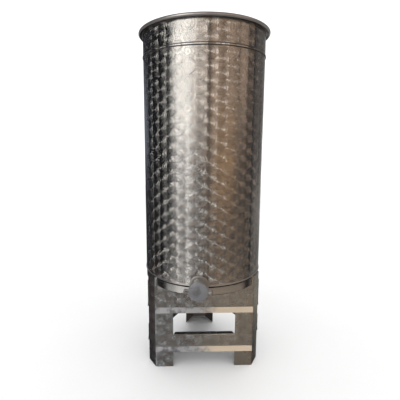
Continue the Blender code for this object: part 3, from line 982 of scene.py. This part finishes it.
def strip(name, stand, top, fold, flange_half):
    """A sheet strip on the outer side of two legs, facing +Y, with its top flange and flared lip."""
    lip_run = Vector((0, math.sin(stand.lip_angle), -math.cos(stand.lip_angle))) * stand.lip_length
    half = stand.long_side / 2 - LAP
    outside = strip_face(stand)
    corner = Vector((-half, outside, fold))

    def middle_of_top(edge):
        on_top = all(v.co.z > top - 1e-4 for v in edge.verts)
        return on_top and abs((edge.verts[0].co.x + edge.verts[1].co.x) / 2) < 0.01

    def folded(edge):
        return len(edge.link_faces) == 2 and edge.calc_face_angle() > math.radians(2)

    obj = drawn(name, [(-half, outside, top), corner, corner + lip_run])
    with editing(obj, "EDGE"):
        bpy.ops.mesh.extrude_region_move(TRANSFORM_OT_translate={"value": (2 * half, 0, 0)})
        for x in (-flange_half, flange_half):
            bpy.ops.mesh.select_all(action="SELECT")
            bpy.ops.mesh.bisect(plane_co=(x, 0, 0), plane_no=(1, 0, 0))
        pick(obj, bmesh.from_edit_mesh(obj.data), "edges", middle_of_top)
        bpy.ops.mesh.extrude_region_move(TRANSFORM_OT_translate={"value": (0, -stand.rail_flange, 0)})
        bpy.ops.transform.resize(value=((flange_half - stand.flange_taper) / flange_half, 1, 1))
        pick(obj, bmesh.from_edit_mesh(obj.data), "edges", folded)
        bpy.ops.mesh.bevel(offset=stand.rail_fold, offset_type="OFFSET", segments=4, affect="EDGES")
    thickened(obj, stand.rail_sheet, lambda centre: Vector((0, 1, 0.5)))
    eased(obj, 0.00025, 60, 1)
    # Back faces and undersides get the dark sheet, painted shade; the lip gets the edge whose colour is a
    # painted reflection
    return painted(
        obj, ("Jewelled stand", "Bright edge", "Mill sheet"),
        lambda face: face.calc_center_median().z < fold - 0.0005,
        lambda face: face.normal.y < -0.2 or face.normal.z < -0.5,
    )


def on_each_side(first, stand, name, node, lifted):
    """Copies a strip to the stand's three long sides and drops the first."""
    for side, angle in rail_positions(stand).items():
        lift = Matrix.Translation((0, 0, rail_lift(stand, side) if lifted else 0))
        piece = copied(first, name + side, about_axis(angle) @ lift)
        finished(piece, "Jewelled stand", [node + side], smooth=30)
    discarded(first)


class TANK_OT_aprons(bpy.types.Operator):
    """Three aprons under the tank, each with a top flange and a bright flared edge"""

    bl_idname = "tank.aprons"
    bl_label = "Aprons"

    def execute(self, context):
        s = context.scene.stand_sizes
        top = SKIRT_LOW.z - context.scene.tank_sizes.gap
        first = strip("apron", s, top, s.apron_fold_height, s.apron_half)
        on_each_side(first, s, "apron_sheet_", "apron_", lifted=False)
        return {"FINISHED"}


class TANK_OT_lower_rails(bpy.types.Operator):
    """Three lower rails between the legs"""

    bl_idname = "tank.lower_rails"
    bl_label = "Lower rails"

    def execute(self, context):
        s = context.scene.stand_sizes
        half = s.long_side / 2 - s.leg_flange - LAP
        first = strip("rail", s, s.rail_top, s.rail_fold_height, half)
        on_each_side(first, s, "rail_sheet_", "lower_rail_", lifted=True)
        return {"FINISHED"}


# Heights of the spot welds on aprons and on the front rail, and their distances from a strip's end
APRON_WELDS = (0.305, 0.333, 0.361)
RAIL_WELDS = (0.112, 0.139)
WELD_INSETS = (0.018, 0.058)


class TANK_OT_spot_welds(bpy.types.Operator):
    """Dimpled spot welds where aprons and rails lap on the legs"""

    bl_idname = "tank.spot_welds"
    bl_label = "Spot welds"

    def execute(self, context):
        s = context.scene.stand_sizes
        face, half = strip_face(s), s.long_side / 2
        radius, proud, sunk = 0.0028, 0.00025, -0.0001
        profile = [(0, sunk), (0, proud * 0.2), (radius * 0.55, proud * 0.3), (radius * 0.75, proud),
                   (radius, proud * 0.5), (radius * 1.1, sunk)]
        nugget = lathed("nugget", profile, 12, closed=False)
        settle(nugget, Matrix.Rotation(math.radians(-90), 4, "X"))
        for name, angle in rail_positions(s).items():
            heights = [*APRON_WELDS, *(z + rail_lift(s, name) for z in RAIL_WELDS)]
            spots = []
            for side, inset, z in product((-1, 1), WELD_INSETS, heights):
                spot = Matrix.Translation((side * (half - inset), face, z))
                spots.append(copied(nugget, "spot", about_axis(angle) @ spot))
            finished(joined(spots, "spot_welds_" + name), "Weld bead", smooth=60)
        discarded(nugget)
        return {"FINISHED"}


# The gate valve


def eared_outline(valve, steps=12):
    """A round plate with a round ear on each side, joined by short straight necks."""
    start = math.degrees(math.asin(valve.ear_neck / valve.body_radius))
    end = 180 - math.degrees(math.asin(valve.ear_neck / valve.ear_radius))
    points = arc((EAR, 0), valve.ear_radius, -end, end, steps)
    points += arc((0, 0), valve.body_radius, start, 180 - start, 3 * steps)
    points += arc((-EAR, 0), valve.ear_radius, 180 - end, 180 + end, steps)
    points += arc((0, 0), valve.body_radius, 180 + start, 360 - start, 3 * steps)
    return points


def thread(radius, low, high, pitch=0.001, depth=0.0003):
    """Profile points of a screw thread, as stacked rings."""
    turns = int((high - low) / pitch)
    points = []
    for i in range(turns):
        z = low + i * pitch
        points += [(radius - depth, z), (radius, z + pitch * 0.3), (radius, z + pitch * 0.6)]
    return points + [(radius - depth, low + turns * pitch)]


class TANK_OT_outlet(bpy.types.Operator):
    """Outlet tube and the plate that backs it, with their weld beads"""

    bl_idname = "tank.outlet"
    bl_label = "Outlet"

    def execute(self, context):
        v, tank = context.scene.valve_sizes, context.scene.tank_sizes
        near, far = tank.radius - 0.0125, v.shoulder
        wall = (v.neck_radius - v.neck_bore) / 2
        middle = (v.neck_radius + v.neck_bore) / 2
        tube = arc((middle, far - wall), wall, 0, 180, 4) + arc((middle, near + wall), wall, 180, 360, 4)
        neck = settle(lathed("outlet_tube", tube, v.sides), GATE)
        finished(neck, "Outlet sheet", ["outlet_neck"])
        low = tank.hem_radius + tank.gap
        high = low + v.collar_thickness
        bore = v.neck_radius + tank.gap
        ease = 0.001
        profile = [(v.collar_radius - ease, high), (v.collar_radius - ease * 0.3, high - ease * 0.3),
                   (v.collar_radius, high - ease), (v.collar_radius, low), (bore, low), (bore, high)]
        collar = settle(lathed("collar_plate", profile, v.sides), GATE)
        finished(collar, "Outlet sheet", ["neck_collar"])
        run, sunk = 0.0032, 0.0002
        bead = [(bore - sunk, high - sunk), (bore + run, high - sunk), (bore + run * 0.75, high + run * 0.45),
                (bore + run * 0.4, high + run * 0.75), (bore - sunk, high + run)]
        finished(settle(lathed("collar_weld", bead, v.sides), GATE), "Weld bead")
        return {"FINISHED"}


class TANK_OT_gate_body(bpy.types.Operator):
    """Seat of the gate: an eared flange, the socket behind it and the seal in its face"""

    bl_idname = "tank.gate_body"
    bl_label = "Gate body"

    def execute(self, context):
        v, gap = context.scene.valve_sizes, context.scene.tank_sizes.gap
        neck, beyond = v.neck_radius + gap, 0.01
        body = plate("gate_seat", eared_outline(v), v.shoulder + gap, v.face)
        eased(body, 0.0009, 60, 3)
        socket = [(v.boss_radius, v.shoulder + 0.002), (v.boss_radius + 0.0016, v.shoulder + gap),
                  (v.boss_radius + 0.0004, v.shoulder - 0.0012), (v.boss_radius, v.shoulder - 0.003),
                  (v.boss_radius, v.back + 0.001), (v.boss_radius - 0.001, v.back), (neck, v.back),
                  (neck, v.shoulder + 0.002)]
        combined(body, lathed("socket", socket, v.sides), "UNION")
        seat_low, seat_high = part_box("gate_seal")
        seal_outer, seal_depth = seat_high.x - AXIS.x, seat_high.y - seat_low.y
        groove = v.face - seal_depth - gap
        bore = [(0, v.face + beyond), (seal_outer + gap, v.face + beyond), (seal_outer + gap, groove),
                (v.neck_bore, groove), (v.neck_bore, v.shoulder + gap), (neck, v.shoulder + gap),
                (neck, v.back - beyond), (0, v.back - beyond)]
        combined(body, lathed("bore", bore, v.sides, closed=False))
        for x in (-EAR, EAR):
            combined(body, rod("hole", v.screw_radius + SCREW_ROOM, v.back, v.stud_tip, 24, (x, 0)))
        finished(settle(body, GATE), "Gate casting", ["gate_body"], smooth=32)
        half = seal_depth / 2
        inner = seal_outer - 0.0038
        ring = arc((seal_outer - half, v.face - half), half, -90, 90, 6)
        ring += arc((inner + half, v.face - half), half, 90, 270, 6)
        seal = settle(lathed("seal_ring", ring, v.sides), GATE)
        finished(seal, "Gate seal", ["gate_seal"], smooth=60)
        return {"FINISHED"}


class TANK_OT_gate_flap(bpy.types.Operator):
    """Round flap that turns on the right-hand screw and hooks over the stud"""

    bl_idname = "tank.gate_flap"
    bl_label = "Gate flap"

    def execute(self, context):
        v, gap = context.scene.valve_sizes, context.scene.tank_sizes.gap
        low = v.face + gap
        under, over = low - 0.01, low + 0.02
        flap = plate("gate_cover", eared_outline(v), low, low + v.flap)
        half = 0.0046
        slot = arc((-EAR, 0), half, 0, 180, 12)
        slot += [(-EAR - half, -v.body_radius), (-EAR + half, -v.body_radius)]
        combined(flap, plate("slot", slot, under, over))
        combined(flap, rod("hole", v.screw_radius + SCREW_ROOM, under, over, 24, (EAR, 0)))
        with editing(flap, "FACE") as bm:
            pick(flap, bm, "faces", lambda face: face.normal.z > 0.9)
            bpy.ops.mesh.bevel(offset=0.0012, segments=3, affect="EDGES")
        finished(settle(flap, GATE), "Gate casting", ["gate_flap"], body="flap", smooth=50)
        return {"FINISHED"}


# Outlines of (radius, height): the pivot screw's head, from the top down, and the nut behind the pivot
SCREW_HEAD = ((0, 0.005), (0.0045, 0.0048), (0.0062, 0.0040), (0.0068, 0.0030), (0.0068, 0.0013),
              (0.0083, 0.0012), (0.0085, 0.0009), (0.0085, 0.0001), (0.0083, 0))
NUT_HEIGHT = 0.005
NUT_CORNERS = ((0.0051, 0), (0.0060, -0.0006))
# One wing of the wing nut: (distance from its middle, height)
WING = ((0.0038, 0.0015), (0.0075, 0.0018), (0.0108, 0.0036), (0.0135, 0.0072), (0.0148, 0.0108),
        (0.0146, 0.0128), (0.0133, 0.0139), (0.0112, 0.0134), (0.0092, 0.0112), (0.0070, 0.0082),
        (0.0038, 0.0070))
WING_HALF = 0.0013
SCREW_SIDES = 32


class TANK_OT_gate_screws(bpy.types.Operator):
    """Pivot screw and nut on the right, stud and wing nut on the left"""

    bl_idname = "tank.gate_screws"
    bl_label = "Gate screws"

    def execute(self, context):
        v, gap = context.scene.valve_sizes, context.scene.tank_sizes.gap
        pivot, clamp = (GATE @ Matrix.Translation((x, 0, 0)) for x in (EAR, -EAR))
        bore = v.screw_radius + SCREW_ROOM
        low = v.face + v.flap + 2 * gap
        tail = v.shoulder - 0.006
        shank = thread(v.screw_radius, tail, v.shoulder)[::-1]
        profile = raised(SCREW_HEAD, low) + [(v.screw_radius, low)] + shank + [(0, tail)]
        screw = lathed("pivot_bolt", profile, SCREW_SIDES, closed=False)
        combined(screw, rod("socket", 0.0030, low + 0.0022, low + 0.02, 6))
        finished(settle(screw, pivot), "Turned screw", ["pivot_screw"], smooth=32)

        nut_low, nut_high = v.shoulder - NUT_HEIGHT, v.shoulder
        nut = rod("back_nut", 0.0058, nut_low, nut_high, 6)
        chamfer = [(0, nut_high), *raised(NUT_CORNERS, nut_high)]
        chamfer += [(r, nut_low - z) for r, z in reversed(NUT_CORNERS)] + [(0, nut_low)]
        combined(nut, lathed("chamfer", chamfer, SCREW_SIDES, closed=False), "INTERSECT")
        combined(nut, rod("hole", bore, nut_low - 0.01, nut_high + 0.01, 24))
        finished(settle(nut, pivot), "Turned screw", ["pivot_nut"])

        foot = v.shoulder - 0.003
        shank = thread(v.screw_radius, v.shoulder + 0.0005, v.stud_tip - 0.001)
        stud = [(0, foot), (0.0054, foot), (0.0060, foot + 0.0006), (0.0060, v.shoulder),
                (v.screw_radius - 0.0003, v.shoulder), *shank, (v.screw_radius * 0.7, v.stud_tip),
                (0, v.stud_tip)]
        post = settle(lathed("clamp_bolt", stud, 24, closed=False), clamp)
        finished(post, "Turned screw", ["clamp_stud"], smooth=32)

        hub = [(bore, 0), (0.0057, 0), (0.0060, 0.0005), (0.0054, 0.0058), (0.0048, 0.0078), (0.0043, 0.008),
               (bore, 0.008)]
        blade = eased(plate("blade", WING, -WING_HALF, WING_HALF), 0.0007, 60, 2)
        settle(blade, Matrix.Rotation(math.radians(90), 4, "X"))
        grip = lathed("wing_grip", raised(hub, low), SCREW_SIDES)
        for angle in (0, math.pi):
            place = Matrix.Translation((0, 0, low)) @ Matrix.Rotation(angle, 4, "Z")
            combined(grip, copied(blade, "wing", place), "UNION")
        discarded(blade)
        finished(settle(grip, clamp), "Turned screw", ["wing_nut"], smooth=40)
        return {"FINISHED"}


# The studio


def panel(tree, across, up, centre, half, side_soft, low, high, end_soft):
    """How strongly a soft panel shows in a direction, all in degrees."""
    apart = calc(tree, "ABSOLUTE", calc(tree, "SUBTRACT", across, centre))
    sideways = spread(tree, apart, half + side_soft / 2, half - side_soft / 2)
    above = spread(tree, up, low - end_soft / 2, low + end_soft / 2)
    below = spread(tree, up, high + end_soft / 2, high - end_soft / 2)
    return calc(tree, "MULTIPLY", sideways, calc(tree, "MULTIPLY", above, below))


# Soft panels: centre, half-width and softness of the sides; lower end, upper end and their softness. All in
# degrees, round from the camera's side and above the horizon. Then the colour and the strength.
PANELS = (
    (-38, 16, 9, 1, 34, 8, (1.00, 0.96, 0.88), 1.92),
    (-38, 18, 9, -12, 36, 10, (1.00, 0.98, 0.95), 0.55),
    (-34, 20, 11, -44, 36, 10, (1.00, 0.98, 0.95), 0.38),
    (-8, 11, 7, 3, 36, 9, (1.00, 0.88, 0.76), 1.35),
    (46, 46, 14, 0, 38, 9, (1.00, 0.72, 0.52), 0.16),
    (24, 9, 4, 2, 36, 9, (1.00, 0.74, 0.55), 0.60),
    (50, 8, 5, 2, 36, 9, (1.00, 0.74, 0.55), 0.60),
    (77, 8, 5, 2, 36, 9, (1.00, 0.74, 0.55), 0.58),
    (52, 42, 14, -44, 0, 12, (1.00, 0.80, 0.60), 0.10),
    (-4, 14, 12, -44, -6, 14, (0.90, 0.97, 1.05), 0.07),
    (38, 22, 20, -10, 3, 7, (1.00, 0.48, 0.08), 0.38),
    (-46, 30, 12, -36, -24.5, 3, (1.00, 0.98, 0.94), 0.85),
    (44, 48, 14, -31, -24.5, 3, (1.00, 0.82, 0.66), 0.42),
    (132, 22, 16, -30, 40, 20, (0.95, 0.90, 0.85), 0.13),
    (132, 14, 12, -16, -8, 6, (1.00, 0.90, 0.82), 0.22),
    (137, 20, 14, -28, -22, 3, (1.00, 0.93, 0.75), 0.24),
    (166, 10, 10, -14, 4, 10, (1.00, 0.95, 0.90), 0.50),
    (-152, 18, 16, -4, 10, 10, (0.85, 0.93, 1.10), 0.25),
    (-152, 24, 18, -40, 30, 20, (0.80, 0.88, 1.10), 0.02),
    (-120, 20, 14, -31, -24, 4, (1.00, 0.65, 0.50), 0.15),
    (180, 24, 12, -30, 40, 20, (0.98, 0.99, 1.00), 0.55),
    (0, 180, 1, -90, -54, 8, (1.00, 0.98, 0.95), 0.07),
    (0, 180, 1, 56, 90, 8, (1.00, 0.99, 0.98), 0.12),
)


# What the steel mirrors between the panels
DUSK = (0.016, 0.016, 0.018, 1)


def surroundings(world, studio):
    """What the steel mirrors: soft panels round the camera. The camera and the floor see plain white."""
    world.use_nodes = True
    world.cycles.sampling_method = "NONE"
    tree = world.node_tree
    tree.nodes.clear()
    x, y, z = split(tree, add(tree, "TexCoord").outputs["Generated"])
    angle = calc(tree, "ARCTAN2", x, calc(tree, "MULTIPLY", y, -1.0))
    across = calc(tree, "SUBTRACT", calc(tree, "DEGREES", angle), math.degrees(studio.camera_side))
    up = calc(tree, "DEGREES", calc(tree, "ARCSINE", z))
    light = add(tree, "RGB").outputs[0]
    light.default_value = DUSK
    for *place, tint, strength in PANELS:
        mask = panel(tree, across, up, *place)
        glow = vec(tree, "SCALE", tuple(channel * strength for channel in tint), scale=mask)
        light = vec(tree, "ADD", light, glow)
    mirrored = add(tree, "Background", {"Color": light, "Strength": 1.0}).outputs[0]
    white = add(tree, "Background", {"Color": (1, 1, 1, 1), "Strength": studio.daylight}).outputs[0]
    glossy = add(tree, "LightPath").outputs["Is Glossy Ray"]
    choice = add(tree, "MixShader", {0: glossy, 1: white, 2: mirrored})
    add(tree, "OutputWorld", {0: choice.outputs[0]})


# The floor lies a hair below the feet; the lens is shifted sideways and up, as shares of the sensor's width
FLOOR_RADIUS, FLOOR_HEIGHT = 6.0, -0.0005
SENSOR_WIDTH = 36.0
LENS_SHIFT = (0.0229, -0.0233)


class TANK_OT_studio(bpy.types.Operator):
    """Pale floor, soft surroundings and the camera at the photograph's angle"""

    bl_idname = "tank.studio"
    bl_label = "Studio"

    def execute(self, context):
        scene = context.scene
        studio = scene.studio_settings
        bpy.ops.object.select_all(action="DESELECT")
        bpy.ops.mesh.primitive_circle_add(
            vertices=96, radius=FLOOR_RADIUS, fill_type="NGON", location=(0, 0, FLOOR_HEIGHT)
        )
        floor = settle(named("studio_floor"))
        made, tree, bsdf = shader("Studio floor")
        clouds = noise(tree, object_place(tree), 3.0, detail=3.0)
        pale = blend(tree, clouds, (*studio.floor, 1), scaled(studio.floor, 1.04))
        fill(tree, bsdf, {"Base Color": pale, "Roughness": 0.7})
        floor.data.materials.append(made)
        floor.visible_glossy = False

        world = bpy.data.worlds.new("Soft studio")
        scene.world = world
        surroundings(world, studio)

        camera_data = bpy.data.cameras.new("photo_camera")
        camera_data.lens = studio.lens
        camera_data.sensor_width = SENSOR_WIDTH
        camera_data.sensor_fit = "HORIZONTAL"
        camera_data.shift_x, camera_data.shift_y = LENS_SHIFT
        camera_data.clip_start = 0.01
        camera = bpy.data.objects.new("photo_camera", camera_data)
        scene.collection.objects.link(camera)
        away = Vector((math.sin(studio.camera_side), -math.cos(studio.camera_side), 0)) * studio.distance
        standing = Matrix.Translation(AXIS + away + Vector((0, 0, studio.camera_height)))
        down = Matrix.Rotation(math.radians(90) - studio.pitch, 4, "X")
        looking = Matrix.Rotation(studio.heading, 4, "Z") @ down @ Matrix.Rotation(studio.roll, 4, "Z")
        camera.matrix_world = standing @ looking
        scene.camera = camera
        scene.view_settings.view_transform = "Standard"
        return {"FINISHED"}


# The add-on


OPERATORS = (
    TANK_OT_shell,
    TANK_OT_rim,
    TANK_OT_bottom,
    TANK_OT_legs,
    TANK_OT_aprons,
    TANK_OT_lower_rails,
    TANK_OT_spot_welds,
    TANK_OT_outlet,
    TANK_OT_gate_body,
    TANK_OT_gate_flap,
    TANK_OT_gate_screws,
    TANK_OT_studio,
)

SETTINGS = {
    "tank_sizes": TankSizes,
    "stand_sizes": StandSizes,
    "valve_sizes": ValveSizes,
    "finish_settings": FinishSettings,
    "studio_settings": StudioSettings,
}


class TANK_PT_panel(bpy.types.Panel):
    """Lists the pieces in the order they are built, and the settings they use"""

    bl_idname = "TANK_PT_panel"
    bl_label = "Jewelled Steel Tank"
    bl_space_type = "VIEW_3D"
    bl_region_type = "UI"
    bl_category = "Tank"

    def draw(self, context):
        for operator in OPERATORS:
            self.layout.operator(operator.bl_idname)
        for key, settings in SETTINGS.items():
            box = self.layout.box()
            for name in settings.__annotations__:
                box.prop(getattr(context.scene, key), name)


def register():
    for cls in (*SETTINGS.values(), *OPERATORS, TANK_PT_panel):
        bpy.utils.register_class(cls)
    for key, settings in SETTINGS.items():
        setattr(bpy.types.Scene, key, bpy.props.PointerProperty(type=settings))


def unregister():
    for key in SETTINGS:
        delattr(bpy.types.Scene, key)
    for cls in reversed((*SETTINGS.values(), *OPERATORS, TANK_PT_panel)):
        bpy.utils.unregister_class(cls)


def main():
    register()
    for operator in OPERATORS:
        family, name = operator.bl_idname.split(".")
        getattr(getattr(bpy.ops, family), name)()


if __name__ == "__main__":
    main()
